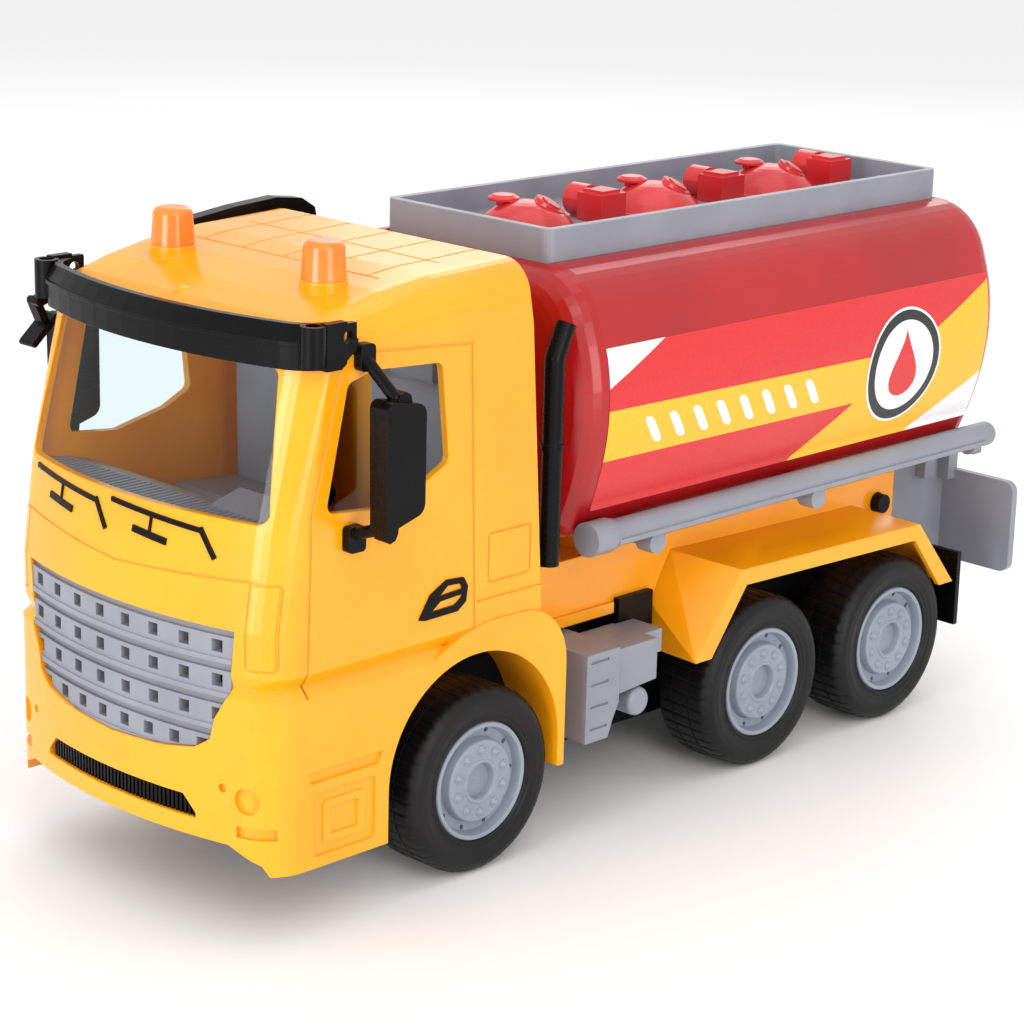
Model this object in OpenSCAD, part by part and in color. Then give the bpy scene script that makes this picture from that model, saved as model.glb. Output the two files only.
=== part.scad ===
// Toy tanker truck: a cab over the front axle, a tank with an open-top tray, and two more axles.
// X points forward, Y to the truck's left and Z up. The wheels stand on Z = 0.

/* [Wheels] */
// Outside diameter of a tyre
tyre_d = 45; // [44:0.25:45.5]
// Width of a tyre
tyre_w = 18; // [16:0.5:18]
// Outside diameter of a rim
rim_d = 28.6; // [27.6:0.2:29.2]
// Diameter of the steel axles
axle_d = 4; // [3.6:0.1:4.4]
// Lug nuts on each rim
lug_count = 10; // [6:1:10]
// Front axle, from the truck's middle
front_axle_x = 66; // [65.5:0.1:66.5]
// Middle axle, from the truck's middle
middle_axle_x = -37; // [-38:0.5:-36]
// Rear axle, from the truck's middle
rear_axle_x = -90; // [-91:0.5:-89]
// Outer face of the front tyres
front_face_y = 45.8; // [45.4:0.1:46]
// Outer face of the middle and rear tyres
back_face_y = 44; // [43.6:0.1:44.2]

/* [Cab] */
// Half of the cab's width at the doors
cab_half_w = 46; // [45.6:0.1:46.2]
// Front of the bumper
cab_front_x = 138; // [137:0.5:138.5]
// Highest point of the roof
roof_z = 143.2; // [142.5:0.1:144]
// Wall of the cab moulding
cab_wall = 2; // [1.6:0.1:2.2]
// Rows of louvres in the grille
grille_rows = 4; // [3:1:5]
// Holes in each row
grille_holes = 8; // [6:1:9]

/* [Tank] */
// Front of the tank
tank_front_x = 37; // [35:0.5:37.5]
// Back of the tank
tank_back_x = -126; // [-127:0.5:-124]
// Radius of the rounded ends
tank_end_r = 8; // [5:0.5:10]
// Rim of the tray above the ground
tray_rim_z = 144.8; // [144:0.2:147]

/* [Hidden] */
$fn = 48;

cab_yellow = "#FFA81E";
tank_red = "#B81A1E";
trim_grey = "#8A8D96";
moulded_black = "#2A2A2E";
amber = "#FF8A1E";
clear_tint = "#CFE6EE";

axle_z = tyre_d / 2;
play = 0.05;

// Chassis levels and widths
base_low_z = 12;
base_top_z = 46.5;
base_half_w = 20;
boss_end_y = 24.4;
hub_end_y = 24.7;
frame_top_z = 63;
frame_half_w = 28;
frame_back_x = -108;
frame_front_x = 104;
saddle_top_z = 72;
saddle_half_w = 34;
saddle_xs = [9, -52, -100];
screw_spots = [[92, 13], [92, -13], [22, 13], [22, -13], [-63, 13], [-63, -13]];
screw_r = 1.4;

// Cab levels
low_z = 16;
shoulder_z = 55.5;
waist_z = 58;
door_low_z = 61;
grille_top_z = 71;
sill_z = 93.3;
header_z = 129;
bow_r = 132;
corner_r = 10;
arch_x = 69.3;
arch_z = 27.6;
arch_r = 27.2;
arch_band_y = 30;
flare_back_x = 40;
roof_side_r = 8.5;
groove = 0.35;
visor_low_z = 127.5;
visor_top_z = 137;
visor_front_x = 129.1;
visor_half_w = 47.8;
beacon_x = 98.5;
beacon_y = 25.9;
beacon_base_z = 141.4;

// Tank levels
tank_low_z = 72;
tank_top_z = 137;
tank_mid_z = 104;
tank_wall = 2;
tray_low_z = 135.4;
tray_floor_z = 138.6;
tray_half_w = 28;
tray_front_x = 30.6;
tray_back_x = -118.8;
lid_xs = [10, -36.2, -82.4];
valve_xs = [-14.7, -60.1, -104.5];

// Shared shapes

// Points along an arc, both ends included
function arc(cx, cy, r, from, to, steps) =
  [for (i = [0:steps]) let (a = from + (to - from) * i / steps) [cx + r * cos(a), cy + r * sin(a)]];

// Rectangle with round corners
function round_rect(x0, y0, x1, y1, r, steps = 5) = concat(
  arc(x1 - r, y1 - r, r, 0, 90, steps),
  arc(x0 + r, y1 - r, r, 90, 180, steps),
  arc(x0 + r, y0 + r, r, 180, 270, steps),
  arc(x1 - r, y0 + r, r, 270, 360, steps));

// Extrudes an outline drawn in X and Z from y0 to y1
module across(y0, y1) {
  translate([0, y1, 0])
    rotate([90, 0, 0])
      linear_extrude(y1 - y0)
        children();
}

// Extrudes an outline drawn in Y and Z from x0 to x1
module along(x0, x1) {
  translate([x0, 0, 0])
    rotate([90, 0, 90])
      linear_extrude(x1 - x0)
        children();
}

// A box given by its two corners
module block(low, high) {
  translate(low)
    cube(high - low);
}

module both_sides() {
  children();
  mirror([0, 1, 0])
    children();
}

module to_right() {
  mirror([0, 1, 0])
    children();
}

// Cab moulding

// The back wall leans forward as it rises
function cab_back_x(z) = 48.5 + (z - door_low_z) * 0.075;

// Plan of the cab: bowed front, round front corners, square back
function cab_plan(front_x, half_w, back_x, r) =
  let (
    bow_x = front_x - bow_r,
    cy = half_w - r,
    cx = bow_x + sqrt(pow(bow_r - r, 2) - pow(cy, 2)),
    turn = atan2(cy, cx - bow_x))
  concat(
    [[back_x, -half_w]],
    arc(cx, -cy, r, -90, -turn, 7),
    [for (i = [1:13]) let (a = -turn + 2 * turn * i / 14) [bow_x + bow_r * cos(a), bow_r * sin(a)]],
    arc(cx, cy, r, turn, 90, 7),
    [[back_x, half_w]]);

module plan_slab(z, front_x, half_w, back_x, r) {
  translate([0, 0, z])
    linear_extrude(0.01)
      polygon(cab_plan(front_x, half_w, back_x, r));
}

// A pair of upright discs that shape the roof's round side edges
module roof_rib(x, top_z, r, inset) {
  for (side = [-1, 1])
    translate([x, side * (cab_half_w - r), top_z - r])
      rotate([0, 90, 0])
        cylinder(h = 0.01, r = r - inset, $fn = 32);
}

// The cab above the door sills, drawn in by inset on every face
module cab_skin(inset) {
  w = cab_half_w - inset;
  r = corner_r - inset;
  hull() {
    plan_slab(door_low_z, cab_front_x - 0.6 - inset, w, cab_back_x(door_low_z) + inset, r);
    plan_slab(grille_top_z, cab_front_x - 0.5 - inset, w, cab_back_x(grille_top_z) + inset, r);
    plan_slab(sill_z, cab_front_x - 3.5 - inset, w, cab_back_x(sill_z) + inset, r);
    plan_slab(header_z, cab_front_x - 11.9 - inset, w, cab_back_x(header_z) + inset, r);
    roof_rib(54.8 + inset, roof_z, roof_side_r, inset);
    roof_rib(80, roof_z - 1, roof_side_r, inset);
    roof_rib(95, roof_z - 2.8, roof_side_r, inset);
    roof_rib(106, roof_z - 5, roof_side_r, inset);
    roof_rib(114.5 - inset / 2, roof_z - 7.6, roof_side_r, inset);
  }
}

// The undercut between the door sills and the bumper, as two tapers
module cab_waist(inset, back_x) {
  hull() {
    plan_slab(shoulder_z - 0.01, cab_front_x - inset, cab_half_w + 0.6 - inset, back_x, corner_r);
    plan_slab(waist_z, cab_front_x - 1.6 - inset, cab_half_w - 1.9 - inset, back_x, corner_r);
  }
  hull() {
    plan_slab(waist_z, cab_front_x - 1.6 - inset, cab_half_w - 1.9 - inset, back_x, corner_r);
    plan_slab(door_low_z, cab_front_x - 0.6 - inset, cab_half_w - inset, back_x, corner_r);
  }
}

// Side view of the lower cab, from the bumper to the flare behind the wheel
module lower_side_view() {
  polygon(concat(
    [[150, low_z], [150, shoulder_z], [84, shoulder_z], [74, shoulder_z + 4.6]],
    [[66, shoulder_z + 6.2]],
    arc(flare_back_x + 15, shoulder_z - 8.8, 15, 90, 180, 8),
    [[flare_back_x, 20.6], [arch_x - arch_r + 1, 20.6], [70, low_z]]));
}

module wheel_arch(r) {
  translate([arch_x, 0, arch_z])
    rotate([90, 0, 0])
      cylinder(h = 120, r = r, center = true, $fn = 96);
  block([arch_x - r, -60, 0], [arch_x + r, 60, arch_z]);
}

module lower_cab() {
  side_w = cab_half_w + 0.6;
  difference() {
    intersection() {
      translate([0, 0, low_z])
        linear_extrude(50)
          polygon(cab_plan(cab_front_x, side_w, flare_back_x, corner_r + 1));
      across(-60, 60)
        lower_side_view();
    }
    // The hollow behind the bumper and the sides
    translate([0, 0, low_z - 1])
      linear_extrude(50)
        polygon(cab_plan(cab_front_x - cab_wall, side_w - cab_wall, 52, corner_r - 1));
    block([30, -arch_band_y, low_z - 1], [60, arch_band_y, 70]);
    wheel_arch(arch_r);
    // The bumper rises towards its middle
    along(100, 150)
      polygon([[-44.4, low_z - 1], [-42.6, 18.6], [-35, 22.2], [35, 22.2], [42.6, 18.6], [44.4, low_z - 1]]);
  }
  // Liner round the wheel
  both_sides()
    difference() {
      intersection() {
        across(arch_band_y, side_w - 0.5)
          lower_side_view();
        translate([arch_x, 0, arch_z])
          rotate([-90, 0, 0])
            cylinder(h = 60, r = arch_r + 1.6, $fn = 96);
      }
      wheel_arch(arch_r);
    }
}

// Liner inside the front half of the arch
module wheel_liner_left() {
  color(moulded_black)
    difference() {
      translate([arch_x, 0, arch_z])
        rotate([-90, 0, 0])
          translate([0, 0, arch_band_y])
            cylinder(h = 14.6, r = arch_r, $fn = 96);
      translate([arch_x, 0, arch_z])
        rotate([-90, 0, 0])
          cylinder(h = 60, r = arch_r - 1.2, $fn = 96);
      block([30, 0, -10], [arch_x + 3, 60, 80]);
      block([30, 0, -10], [120, 60, low_z + 3]);
    }
}

module wheel_liner_right() {
  to_right()
    wheel_liner_left();
}

module windscreen_opening(gap) {
  along(100, 150)
    polygon(concat(
      arc(38.6, sill_z + 3.6, 2.6 - gap, -90, -8, 4),
      arc(35.2, header_z - 4.4, 2.6 - gap, -8, 90, 4),
      arc(-35.2, header_z - 4.4, 2.6 - gap, 90, 188, 4),
      arc(-38.6, sill_z + 3.6, 2.6 - gap, 188, 270, 4)));
}

module side_window_outline(gap) {
  offset_in = 2 - gap;
  polygon(concat(
    arc(112.9, 97.6, offset_in, -75, 15, 4),
    arc(107.6, 121.8, offset_in, 15, 84, 3),
    arc(101.8, 123.3, offset_in, 84, 92, 1),
    arc(83.4, 122.2, offset_in, 92, 178, 4),
    arc(81.2, 102.4, offset_in, 178, 245, 4),
    arc(87.4, 99.4, offset_in, 245, 268, 2),
    arc(101, 96.4, offset_in, 268, 285, 1)));
}

// A closed line of the given width round an outline of round_rect
module line_rect(x0, z0, x1, z1, r, width) {
  difference() {
    polygon(round_rect(x0, z0, x1, z1, r));
    polygon(round_rect(x0 + width, z0 + width, x1 - width, z1 - width, r - width));
  }
}

// Outline of the door seam in side view
module door_seam() {
  difference() {
    polygon([[69.4, 50], [72.5, 127.5], [110.6, 130.4], [119.6, 96], [120.8, 50]]);
    polygon([[70, 49], [73.1, 126.9], [110.2, 129.7], [119, 96], [120.2, 49]]);
  }
}

// Shallow lines between the panels of the upper cab
module panel_lines() {
  line_w = 0.55;
  difference() {
    union() {
      both_sides() {
        across(40, 60) {
          door_seam();
          line_rect(52.5, 70.6, 66.4, 82.6, 1.2, line_w);
        }
        block([47, 40, 66.8], [69.6, 60, 66.8 + line_w]);
        // Raised panel beside the grille
        along(118, 150)
          line_rect(38.6, 62.6, 44.6, 82, 1, line_w);
      }
      for (y = [-28, -14, 0, 14, 28])
        block([50, y, 130], [88, y + line_w, 150]);
      for (x = [88, 70])
        block([x, -32, 130], [x + line_w, 32.5, 150]);
      // Brow line under the windscreen
      along(118, 150)
        polygon([[-40, 82], [0, 79.5], [40, 82], [40, 82 + line_w], [0, 79.5 + line_w], [-40, 82 + line_w]]);
    }
    cab_skin(groove);
  }
}

module grille_outline(gap) {
  half = [[17, 41.2], [26, 42.8], [30.4, 45.6], [31.6, 50.6], [34.8, 56], [36.3, grille_top_z]];
  right = [for (p = half) [p.x + gap, p.y + (p.y > 60 ? gap : -gap)]];
  polygon(concat([[0, 40.3 - gap]], right, [for (i = [len(right) - 1:-1:0]) [-right[i].x, right[i].y]]));
}

module slot_outline(gap) {
  polygon([
    [-26.5 - gap, 26.4 - gap], [26.5 + gap, 26.4 - gap], [26.5 + gap, 27.6], [23 + gap, 31.4 + gap],
    [-23 - gap, 31.4 + gap], [-26.5 - gap, 27.6]]);
}

// Sunk steps, slot and square relief on the side of the bumper
module bumper_side_relief() {
  side_w = cab_half_w + 0.6;
  difference() {
    union() {
      across(side_w - 0.9, 60)
        polygon([[99.5, 35.8], [119.5, 35.8], [119.5, 38.6], [98.2, 38.6]]);
      across(side_w - 0.7, 60)
        polygon(round_rect(100.4, 18.6, 118.6, 33.4, 1));
    }
    across(40, side_w - 0.25)
      polygon(round_rect(103.2, 21, 115.6, 31, 0.8));
  }
  across(side_w - 0.9, 60)
    polygon(round_rect(105.4, 22.8, 113.4, 29.2, 0.6));
}

// Round and small dimples with a sunk slot at each front corner
module corner_dimples() {
  both_sides() {
    translate([126, 37.2, 33])
      rotate([0, 90, 22])
        cylinder(h = 20, r = 3);
    translate([126, 31.4, 35])
      rotate([0, 90, 16])
        cylinder(h = 20, r = 1);
    translate([124.6, 37.8, 24.4])
      rotate([0, 0, 30])
        block([2, -4.6, 0], [20, 4.6, 2.6]);
  }
}

module cab_shell() {
  color(cab_yellow) {
    difference() {
      union() {
        cab_skin(0);
        cab_waist(0, 51);
      }
      cab_skin(cab_wall);
      cab_waist(cab_wall, 48);
      windscreen_opening(0);
      both_sides()
        across(40, 60)
          side_window_outline(0);
      along(120, 150)
        grille_outline(0);
      panel_lines();
      // Room for the frame and the wheels under the back wall
      block([40, -frame_half_w - 2, 40], [60, frame_half_w + 2, frame_top_z]);
      wheel_arch(arch_r);
    }
    difference() {
      lower_cab();
      along(120, 150) {
        grille_outline(0);
        slot_outline(0);
      }
      both_sides()
        bumper_side_relief();
      intersection() {
        corner_dimples();
        difference() {
          block([110, -60, 0], [150, 60, 50]);
          translate([0, 0, low_z])
            linear_extrude(50)
              polygon(cab_plan(cab_front_x - 1.2, cab_half_w - 0.6, 52, corner_r));
        }
      }
    }
    // Seats for the two beacons
    both_sides()
      translate([beacon_x, beacon_y, beacon_base_z - 5])
        cylinder(h = 5, r = 5.4);
    // Small moulded knob near the front of the roof
    translate([113, -5, 134.8])
      sphere(r = 2.2);
    // Ribs that stand on the frame and meet the nose of the chassis
    both_sides()
      block([112, 6, 32.4], [136.2, 8, 39.4]);
  }
}

// Parts fixed to the cab

// A band that follows the bowed front, between two depths behind it
module front_band(z0, z1, depth0, depth1) {
  translate([0, 0, z0])
    linear_extrude(z1 - z0)
      difference() {
        polygon(cab_plan(cab_front_x - depth0, cab_half_w, 100, corner_r));
        polygon(cab_plan(cab_front_x - depth1, cab_half_w - 0.1, 99, corner_r));
      }
}

module front_grille() {
  row_h = (grille_top_z - 40) / grille_rows;
  color(trim_grey)
    difference() {
      intersection() {
        along(120, 150)
          grille_outline(-0.1);
        union() {
          front_band(38, 74, 1.9, 3.6);
          for (row = [0:grille_rows - 1]) {
            z = 40 + row * row_h;
            front_band(z, z + 1.2, 0.5, 2.4);
            front_band(z + 1.2, z + row_h - 1.7, 0.9, 2.4);
          }
        }
      }
      for (row = [0:grille_rows - 1])
        for (i = [0:grille_holes - 1]) {
          z = 40 + (row + 0.5) * row_h;
          reach = row == 0 ? 27.5 : 31.5;
          y = -reach + 2 * reach * i / (grille_holes - 1);
          block([cab_front_x - 8, y - 1.45, z - 1.6], [150, y + 1.45, z + 1.2]);
        }
    }
}

module lower_grille() {
  color(moulded_black)
    difference() {
      intersection() {
        along(120, 150)
          slot_outline(-0.1);
        union() {
          front_band(25, 33, 1.8, 3);
          for (y = [-25:1.25:25])
            intersection() {
              block([120, y, 25], [150, y + 0.6, 33]);
              front_band(25, 33, 0.8, 2.4);
            }
        }
      }
    }
}

module windscreen() {
  color(clear_tint)
    intersection() {
      difference() {
        cab_skin(0.5);
        cab_skin(1.7);
      }
      windscreen_opening(0.05);
    }
}

module side_window_left() {
  color(clear_tint)
    across(cab_half_w - 1.7, cab_half_w - 0.5)
      side_window_outline(0.05);
}

module side_window_right() {
  to_right()
    side_window_left();
}

// Side view of one seat
module seat_view() {
  polygon(concat(
    [[64, 65], [90, 65]],
    arc(88, 78, 3, 0, 100, 4),
    [[70, 79.5]],
    arc(67.5, 112, 3, 10, 170, 6)));
}

module cab_interior() {
  color(trim_grey) {
    block([53, -43, frame_top_z], [frame_front_x, 43, 65]);
    intersection() {
      cab_skin(cab_wall + 0.3);
      union() {
        across(-60, 60)
          polygon([[103, 65], [127, 65], [127, 74], [150, 74], [150, 90.4], [122, 91.6], [110, 89], [104, 80]]);
        for (y = [-39:1.9:39])
          block([119.5, y, 90], [128, y + 0.8, 92.2]);
        // Hood over the dials
        across(14, 36)
          polygon([[108, 86], [121, 86], [121, 92], [112, 94.6], [108, 93]]);
      }
    }
    for (y0 = [-37, 11])
      across(y0, y0 + 26)
        seat_view();
    for (y0 = [-31, 17])
      across(y0, y0 + 14)
        polygon(round_rect(65.4, 114, 70.4, 123, 2));
  }
}

module steering_wheel() {
  color(moulded_black)
    translate([103.2, 25, 98])
      rotate([0, -62, 0]) {
        rotate_extrude($fn = 64)
          translate([8, 0])
            circle(r = 1.1, $fn = 20);
        cylinder(h = 1.6, r = 2.6, center = true);
        for (a = [0, 120, 240])
          rotate([0, 0, a])
            block([1.5, -0.8, -0.5], [7.6, 0.8, 0.5]);
        translate([0, 0, -6])
          cylinder(h = 6, r = 1.2);
      }
}

// Plan of the visor drawn out or in, from the bowed front to back_x
module visor_plan(out, back_x) {
  polygon(cab_plan(visor_front_x + out, visor_half_w + out, back_x, corner_r + 1.6 + out));
}

// The visor's upper part leans back between these two plans
module visor_lean(low_out, high_out, back_x) {
  hull() {
    translate([0, 0, visor_low_z + 5.8])
      linear_extrude(0.01)
        visor_plan(low_out, back_x);
    translate([0, 0, visor_top_z])
      linear_extrude(0.01)
        visor_plan(high_out, back_x);
  }
}

module sun_visor() {
  z = visor_low_z;
  w = visor_half_w;
  plate_x = 108.6;
  corner_x = 113.8;
  color(moulded_black)
    difference() {
      union() {
        difference() {
          union() {
            translate([0, 0, z])
              linear_extrude(5.9)
                visor_plan(0, 100);
            translate([0, 0, z + 5.1])
              linear_extrude(1)
                visor_plan(0.5, 100);
            visor_lean(0, -1.9, 100);
          }
          translate([0, 0, z - 1])
            linear_extrude(6.9)
              visor_plan(-1.6, 90);
          visor_lean(-1.6, -3.8, 90);
          block([80, -60, z - 1], [plate_x, 60, 150]);
        }
        // Flat end plates, thicker where the band meets them
        both_sides() {
          block([plate_x, w - 1.6, z], [corner_x, w, visor_top_z]);
          block([corner_x - 2, w - 1.6, z], [corner_x + 3.6, w + 0.6, visor_top_z + 0.6]);
          translate([corner_x + 5.4, w - 1.8, z + 1])
            cylinder(h = 8.8, r = 2.8);
        }
      }
      both_sides()
        translate([corner_x + 5.4, w - 1.8, visor_top_z - 3])
          cylinder(h = 6, r = 1.7);
      across(-60, 60)
        polygon([
          [plate_x - 1, z - 1], [corner_x, z - 1], [corner_x - 0.6, z], [plate_x, z + 3.6],
          [plate_x - 1, z + 3.6]]);
      across(-60, 60)
        polygon(arc(111.3, 134.2, 1.5, 0, 360, 24));
      // Clear of the cab's rounded corners
      block([100, -cab_half_w, z - 1], [corner_x, cab_half_w, 150]);
    }
}

// Small mirror on a bent arm below the right-hand end of the visor
module kerb_mirror() {
  color(moulded_black)
    to_right() {
      across(48.85, 51.4)
        rod_view([114, 128.5], [119, 126.7], 2.4);
      across(50, 53)
        rod_view([119, 126.7], [116.8, 121.7], 2);
      across(49.4, 54.6)
        rod_view([120.4, 116.7], [114, 122.5], 1.6);
    }
}

// A bar between two points of the side view, with round ends
module rod_view(a, b, width) {
  d = b - a;
  turn = atan2(d.y, d.x);
  polygon(concat(
    arc(a.x, a.y, width / 2, turn + 90, turn + 270, 4),
    arc(b.x, b.y, width / 2, turn - 90, turn + 90, 4)));
}

// Housing of a door mirror in side view
module mirror_view() {
  polygon(concat(
    [[109.6, 93.2]],
    arc(108, 119.4, 2.2, 20, 85, 3),
    arc(101.4, 117.8, 2.6, 95, 180, 4),
    arc(101.6, 98.4, 2.8, 180, 250, 4)));
}

// Round rod between two points
module strut(a, b, r) {
  hull()
    for (end = [a, b])
      translate(end)
        sphere(r = r, $fn = 16);
}

module mirror_left() {
  inner_y = 53.6;
  outer_y = 59.2;
  foot_y = cab_half_w + 2.4;
  color(moulded_black) {
    difference() {
      across(inner_y, outer_y)
        mirror_view();
      // The glass side is sunk a little
      block([94, inner_y + 1, 99], [99.4, outer_y - 1, 117]);
    }
    // Long bar that carries the housing in front
    across(inner_y + 0.4, inner_y + 3.8)
      rod_view([103.4, 120.8], [107, 92.4], 4.2);
    // Upper foot on the door pillar, and its arm
    across(cab_half_w, foot_y)
      polygon(round_rect(103.6, 126, 107.8, 132, 1.3));
    strut([105.7, foot_y - 1, 128.6], [104.6, inner_y + 2, 121.4], 1.4);
    // Lower foot and its arm
    across(cab_half_w, foot_y)
      polygon(round_rect(105.8, 86.6, 110.6, 92.4, 1));
    strut([108.6, foot_y - 1, 90.6], [107.4, inner_y + 2, 93.4], 1.4);
  }
}

module mirror_right() {
  to_right()
    mirror_left();
}

// Long intake along the right edge of the roof, turned down at its back end
module roof_duct() {
  color(moulded_black)
    to_right() {
      difference() {
        across(44.6, 48.4)
          polygon([[79, 138.8], [79, 141.9], [64, 143.7], [51, 144.6], [43, 143.6], [38.8, 141], [38.2, 138.4],
            [40.8, 138], [42.6, 140.2], [52, 141.2]]);
        cab_skin(-0.01);
      }
      block([53, cab_half_w, 130], [57, 48.4, 142]);
    }
}

// Upright air intake behind the left corner of the cab
// Intake pipe behind the cab, leaning back over the tank at its top
module air_stack() {
  spot = [43.9, 43.6, 0];
  r = 2.4;
  elbow_z = 119;
  lean = 24;
  color(moulded_black) {
    translate(spot) {
      translate([0, 0, 70])
        cylinder(h = elbow_z - 70, r = r);
      translate([0, 0, 97.6])
        cylinder(h = 1.6, r = r + 0.3);
      translate([0, 0, elbow_z])
        sphere(r = r);
      translate([0, 0, elbow_z])
        rotate([0, -lean, 0])
          difference() {
            cylinder(h = 8.6, r = r);
            translate([0, 0, 6.6])
              cylinder(h = 3, r = r - 0.7);
          }
    }
    block([41.8, 33, 70], [46.1, 43.6, 73]);
    block([41.8, 24, frame_top_z], [46.1, 33, 73]);
  }
}

module beacon_left() {
  top_z = 150;
  r = 4.6;
  color(amber)
    translate([beacon_x, beacon_y, 0])
      rotate_extrude()
        polygon(concat(
          [[0, beacon_base_z], [r + 0.5, beacon_base_z]],
          arc(r - 1.6, top_z - 1.6, 1.6, 0, 90, 6),
          [[0, top_z]]));
}

module beacon_right() {
  to_right()
    beacon_left();
}

// A straight bar in front view between two points
module bar(a, b, width) {
  d = b - a;
  n = [-d.y, d.x] / norm(d) * width / 2;
  polygon([a + n, a - n, b - n, b + n]);
}

// Wiper arm, its short link and the slot below it, shifted sideways
module wiper(shift) {
  color(moulded_black)
    intersection() {
      difference() {
        cab_skin(-0.45);
        cab_skin(0);
      }
      along(118, 150)
        union() {
          bar([shift - 17, 92.6], [shift + 11.4, 91], 1.1);
          bar([shift + 10.6, 91.6], [shift + 15.2, 85.6], 1.1);
          bar([shift - 9, 87.8], [shift + 1.6, 86.8], 1.5);
          bar([shift - 3.4, 92], [shift - 3.7, 87], 0.6);
        }
    }
}

module wiper_left() {
  wiper(14.5);
}

module wiper_right() {
  wiper(-19);
}

// Dark surround of the door handle, with two openings
module handle_trim_left() {
  y0 = cab_half_w;
  color(moulded_black)
    across(y0, y0 + 0.5)
      difference() {
        polygon([
          [87.8, 66.4], [86, 66], [76, 66.2], [73.4, 68], [72.9, 71.6], [74.2, 73.8], [79.4, 74.2],
          [84.4, 71.6]]);
        polygon([[84.2, 67.6], [76.8, 67.8], [74.7, 69.2], [74.5, 70], [81.4, 69.6]]);
        polygon([[81.8, 70.8], [74.5, 71.2], [75.2, 72.6], [79.2, 72.8]]);
      }
}

module handle_trim_right() {
  to_right()
    handle_trim_left();
}

// Chassis

module axle_bores() {
  for (x = [front_axle_x, middle_axle_x, rear_axle_x])
    translate([x, 0, axle_z])
      rotate([90, 0, 0])
        cylinder(h = 80, r = axle_d / 2 + play, center = true);
}

module chassis_base() {
  color(moulded_black)
    difference() {
      union() {
        difference() {
          block([-120, -base_half_w, base_low_z], [112, base_half_w, base_top_z]);
          block([-118, -base_half_w + 2, base_low_z + 2], [110, base_half_w - 2, base_top_z + 1]);
        }
        for (x = [front_axle_x, middle_axle_x, rear_axle_x])
          both_sides()
            translate([x, base_half_w - 1, axle_z])
              rotate([-90, 0, 0])
                cylinder(h = boss_end_y - base_half_w + 1, r = 4.6);
        for (spot = screw_spots)
          translate([spot.x, spot.y, base_low_z])
            cylinder(h = base_top_z - base_low_z, r = 3.6);
        both_sides() {
          // Outrigger behind the side box, with a lip over the rail
          block([-8.4, base_half_w - 1, 38], [4, 30, base_top_z]);
          block([-8.4, frame_half_w + 0.1, base_top_z - 1], [4, 30, 50]);
          // Upright with the peg that catches the back of the rail
          block([-103.8, base_half_w - 1, 38], [-97.8, 25.8, base_top_z]);
          block([-103.8, 22.4, base_top_z - 1], [-97.8, 25.8, 59]);
          translate([-100.8, 25, 55.4])
            rotate([-90, 0, 0])
              cylinder(h = 5.6, r = 2.6);
        }
      }
      axle_bores();
      for (spot = screw_spots)
        translate([spot.x, spot.y, base_low_z - 1]) {
          cylinder(h = 60, r = screw_r + 0.2);
          cylinder(h = 4, r = 3);
        }
    }
}

module chassis_frame() {
  color(cab_yellow)
    difference() {
      union() {
        block([frame_back_x, -frame_half_w, frame_top_z - 2], [frame_front_x, frame_half_w, frame_top_z]);
        both_sides() {
          block([frame_back_x, frame_half_w - 2, base_top_z], [frame_front_x, frame_half_w, frame_top_z]);
          block([5, frame_half_w - 1, base_top_z], [frame_front_x, frame_half_w + 1.2, base_top_z + 2.8]);
        }
        for (x = [frame_back_x, frame_front_x - 2])
          block([x, -frame_half_w, base_top_z], [x + 2, frame_half_w, frame_top_z]);
        for (x = saddle_xs) {
          block([x - 4, -frame_half_w, frame_top_z - 1], [x + 4, frame_half_w, saddle_top_z]);
          block([x - 4, -saddle_half_w, saddle_top_z - 5], [x + 4, saddle_half_w, saddle_top_z]);
        }
        for (spot = screw_spots)
          translate([spot.x, spot.y, base_top_z])
            cylinder(h = frame_top_z - base_top_z - 1, r = 3.6);
      }
      for (spot = screw_spots)
        translate([spot.x, spot.y, base_top_z - 1])
          cylinder(h = 13, r = screw_r + 0.05);
      both_sides()
        translate([-100.8, 20, 55.4])
          rotate([-90, 0, 0])
            cylinder(h = 12, r = 2.8);
      // Room for the tail plates
      block([frame_back_x - 1, -24.3, base_top_z - 1], [frame_back_x + 5, 24.3, frame_top_z - 2]);
      both_sides()
        block([frame_back_x - 1, 21.9, base_top_z - 1], [frame_back_x + 5, 24.3, frame_top_z + 1]);
    }
}

module chassis_screws() {
  color("silver")
    for (spot = screw_spots)
      translate([spot.x, spot.y, base_low_z + 0.8])
        difference() {
          union() {
            cylinder(h = 2.2, r = 2.7);
            translate([0, 0, 2])
              cylinder(h = 42, r = screw_r);
          }
          for (turn = [0, 90])
            rotate([0, 0, turn])
              block([-1.7, -0.35, -1], [1.7, 0.35, 1.2]);
        }
}

// Mudguard profile at its outer edge, drawn in by depth
module fender_view(depth) {
  polygon([
    [-9 - depth * 1.4, 34], [-25.6 - depth * 0.4, 55 - depth], [-98.6 + depth * 0.4, 53.2 - depth],
    [-115 + depth * 1.4, 34]]);
}

// Mudguard profile at the frame, where its front corner reaches further forward
module fender_root_view(depth) {
  polygon([
    [-10 - depth, 34], [-9.6 - depth, 46], [-16.5 - depth * 0.6, 58.4 - depth],
    [-90 + depth * 0.4, 56.4 - depth], [-115 + depth * 1.4, 34]]);
}

module fender_body(depth, inner_y, outer_y) {
  hull() {
    across(inner_y, inner_y + 0.02)
      fender_root_view(depth);
    across(outer_y - 0.02, outer_y)
      fender_view(depth);
  }
}

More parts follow.
